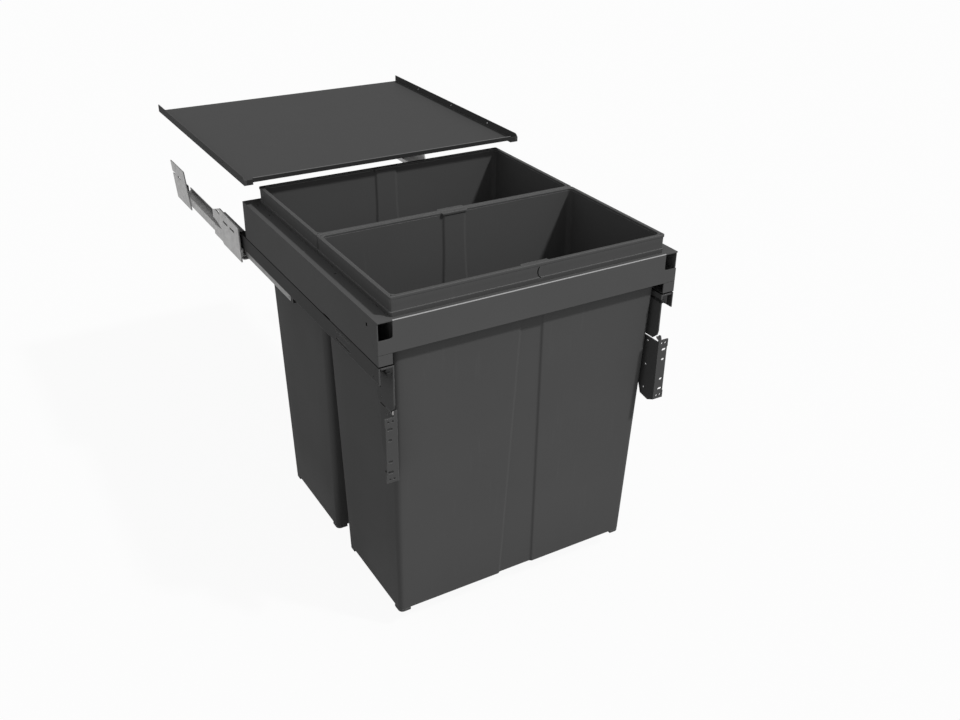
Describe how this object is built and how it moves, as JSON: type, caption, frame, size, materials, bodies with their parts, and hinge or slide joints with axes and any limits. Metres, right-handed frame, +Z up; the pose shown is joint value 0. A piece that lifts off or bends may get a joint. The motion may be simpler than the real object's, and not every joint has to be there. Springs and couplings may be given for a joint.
{
  "type": "pull out trash cabinet",
  "caption": "Door-mounted pull-out waste unit: tapered lift-out bins hang in a sheet-metal frame on full-extension ball runners, under a fixed lid panel.",
  "frame": {"origin": "middle of the unit's outline in plan, level with the bins' feet, with the unit drawn out", "axes": "+X across the cabinet to the right, +Y into the cabinet along the travel, +Z up"},
  "size_m": [0.468, 0.877, 0.5325],
  "materials": {
    "lid": "satin powder coat",
    "frame": "satin powder coat",
    "carrier": "satin powder coat",
    "bracket": "satin powder coat",
    "galvanised": "zinc plated",
    "rivet": "zinc plated",
    "screw": "zinc plated",
    "lock_plastic": "matt",
    "lever_plastic": "matt",
    "buffer": "matt",
    "nose": "matt",
    "cage": "matt",
    "ball": "polished",
    "bin": "fine texture"
  },
  "bodies": {
    "cabinet_side_parts": {"lid_panel": "lid", "left_cabinet_rail": "galvanised", "left_front_bracket": "galvanised", "left_rear_bracket": "galvanised", "left_rail_rivets": "rivet", "left_rail_stop": "buffer", "right_cabinet_rail": "galvanised", "right_front_bracket": "galvanised", "right_rear_bracket": "galvanised", "right_rail_rivets": "rivet", "right_rail_stop": "buffer"},
    "carriage": {"frame_front": "frame", "frame_rear": "frame", "frame_rivets": "frame", "hanger_rivets": "rivet", "left_frame_side": "frame", "left_carrier_rail": "carrier", "left_hanger_plate": "bracket", "left_lock_block": "lock_plastic", "left_lever_pin": "rivet", "left_clamp_screws": "screw", "right_frame_side": "frame", "right_carrier_rail": "carrier", "right_hanger_plate": "bracket", "right_lock_block": "lock_plastic", "right_lever_pin": "rivet", "right_clamp_screws": "screw"},
    "front_bin_body": {"front_bin": "bin"},
    "rear_bin_body": {"rear_bin": "bin"},
    "left_middle": {"left_middle_rail": "galvanised", "left_middle_nose": "nose"},
    "left_upper_ball_row": {"left_upper_cage": "cage", "left_upper_balls": "ball"},
    "left_lower_ball_row": {"left_lower_cage": "cage", "left_lower_balls": "ball"},
    "left_lever": {"left_release_lever": "lever_plastic"},
    "left_door_angle": {"left_door_bracket": "bracket"},
    "right_middle": {"right_middle_rail": "galvanised", "right_middle_nose": "nose"},
    "right_upper_ball_row": {"right_upper_cage": "cage", "right_upper_balls": "ball"},
    "right_lower_ball_row": {"right_lower_cage": "cage", "right_lower_balls": "ball"},
    "right_lever": {"right_release_lever": "lever_plastic"},
    "right_door_angle": {"right_door_bracket": "bracket"}
  },
  "joints": [
    {"name": "pull_out", "type": "slide", "parent": "cabinet_side_parts", "child": "carriage", "axis": [0, 1, 0], "range_m": [0, 0.4221]},
    {"name": "left_middle_run", "type": "slide", "parent": "cabinet_side_parts", "child": "left_middle", "axis": [0, 1, 0], "range_m": [0, 0.21105]},
    {"name": "left_upper_ball_row_run", "type": "slide", "parent": "cabinet_side_parts", "child": "left_upper_ball_row", "axis": [0, 1, 0], "range_m": [0, 0.31657]},
    {"name": "left_lower_ball_row_run", "type": "slide", "parent": "cabinet_side_parts", "child": "left_lower_ball_row", "axis": [0, 1, 0], "range_m": [0, 0.10552]},
    {"name": "right_middle_run", "type": "slide", "parent": "cabinet_side_parts", "child": "right_middle", "axis": [0, 1, 0], "range_m": [0, 0.21105]},
    {"name": "right_upper_ball_row_run", "type": "slide", "parent": "cabinet_side_parts", "child": "right_upper_ball_row", "axis": [0, 1, 0], "range_m": [0, 0.31657]},
    {"name": "right_lower_ball_row_run", "type": "slide", "parent": "cabinet_side_parts", "child": "right_lower_ball_row", "axis": [0, 1, 0], "range_m": [0, 0.10552]},
    {"name": "front_bin_lift", "type": "slide", "parent": "carriage", "child": "front_bin_body", "axis": [0, 0, 1], "range_m": [0, 0.56]},
    {"name": "rear_bin_lift", "type": "slide", "parent": "carriage", "child": "rear_bin_body", "axis": [0, 0, 1], "range_m": [0, 0.01]},
    {"name": "left_lever_press", "type": "hinge", "parent": "carriage", "child": "left_lever", "pos_m": [-0.21045, -0.37395, 0.412], "axis": [1, 0, 0], "range_deg": [0, 10], "stiffness_Nm_per_rad": 0.3, "springref_deg": -5.73},
    {"name": "left_door_height", "type": "slide", "parent": "carriage", "child": "left_door_angle", "axis": [0, 0, 1], "range_m": [-0.003, 0.001]},
    {"name": "right_lever_press", "type": "hinge", "parent": "carriage", "child": "right_lever", "pos_m": [0.21045, -0.37395, 0.412], "axis": [1, 0, 0], "range_deg": [0, 10], "stiffness_Nm_per_rad": 0.3, "springref_deg": -5.73},
    {"name": "right_door_height", "type": "slide", "parent": "carriage", "child": "right_door_angle", "axis": [0, 0, 1], "range_m": [-0.003, 0.001]}
  ],
  "couplings": [
    {"joint": "left_middle_run", "follows": "pull_out", "ratio": 0.5},
    {"joint": "left_upper_ball_row_run", "follows": "pull_out", "ratio": 0.75},
    {"joint": "left_lower_ball_row_run", "follows": "pull_out", "ratio": 0.25},
    {"joint": "right_middle_run", "follows": "pull_out", "ratio": 0.5},
    {"joint": "right_upper_ball_row_run", "follows": "pull_out", "ratio": 0.75},
    {"joint": "right_lower_ball_row_run", "follows": "pull_out", "ratio": 0.25}
  ]
}
